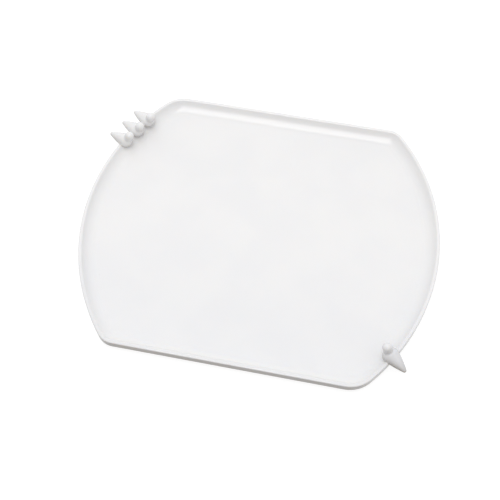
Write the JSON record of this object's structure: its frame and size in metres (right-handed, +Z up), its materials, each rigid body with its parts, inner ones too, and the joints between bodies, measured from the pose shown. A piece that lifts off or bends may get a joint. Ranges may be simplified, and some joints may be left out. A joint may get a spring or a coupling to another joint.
{
  "type": "serving tray",
  "caption": "White glazed porcelain serving tray with straight long sides, arched ends and a shallow well; double-horned thorn grips stand astride its rim.",
  "frame": {"origin": "centre of the tray's plan, on the resting plane under the foot ring", "axes": "+Z up, +X along the tray to the end with one thorn, +Y towards the rear side, where the other three thorns stand at the left"},
  "size_m": [0.4, 0.3324, 0.0336],
  "materials": {
    "tray_glaze": "glossy clear glaze over white porcelain",
    "thorn_glaze": "glossy clear glaze over white porcelain, a little softer in sheen"
  },
  "bodies": {
    "root": {"tray_body": "tray_glaze", "rear_left_thorn_front": "thorn_glaze", "rear_left_thorn_middle": "thorn_glaze", "rear_left_thorn_rear": "thorn_glaze", "front_right_thorn": "thorn_glaze"}
  },
  "joints": []
}
